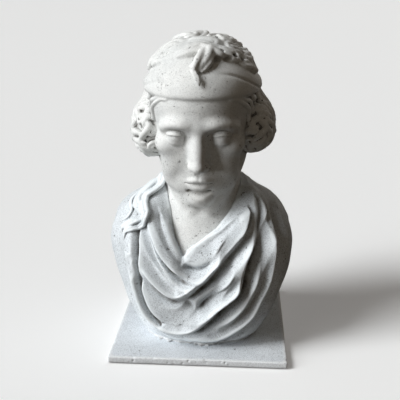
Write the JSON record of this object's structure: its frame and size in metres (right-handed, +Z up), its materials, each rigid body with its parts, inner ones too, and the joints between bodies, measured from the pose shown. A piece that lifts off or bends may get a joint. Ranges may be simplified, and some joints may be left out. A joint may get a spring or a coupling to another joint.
{
  "type": "marble bust",
  "caption": "Life-size draped bust with a filleted, curly-haired head set into it, mounted on a thin square slab.",
  "frame": {"origin": "centre of the felt's underside, on the surface that the bust stands on", "axes": "+Z up, -Y towards the viewer, the way the face looks, +X to the viewer's right"},
  "size_m": [0.2788, 0.26, 0.4657],
  "materials": {
    "felt": "felt",
    "slab_marble": "honed",
    "mortar": "matte",
    "steel": "brushed",
    "anchor_brass": "satin",
    "drapery_marble": "matte",
    "head_marble": "honed"
  },
  "bodies": {
    "root": {"base_felt": "felt", "base_slab": "slab_marble", "mortar_bed": "mortar", "slab_screws": "steel", "screw_anchors": "anchor_brass", "draped_bust": "drapery_marble", "neck_mortar": "mortar", "neck_dowel": "steel", "head": "head_marble"}
  },
  "joints": []
}
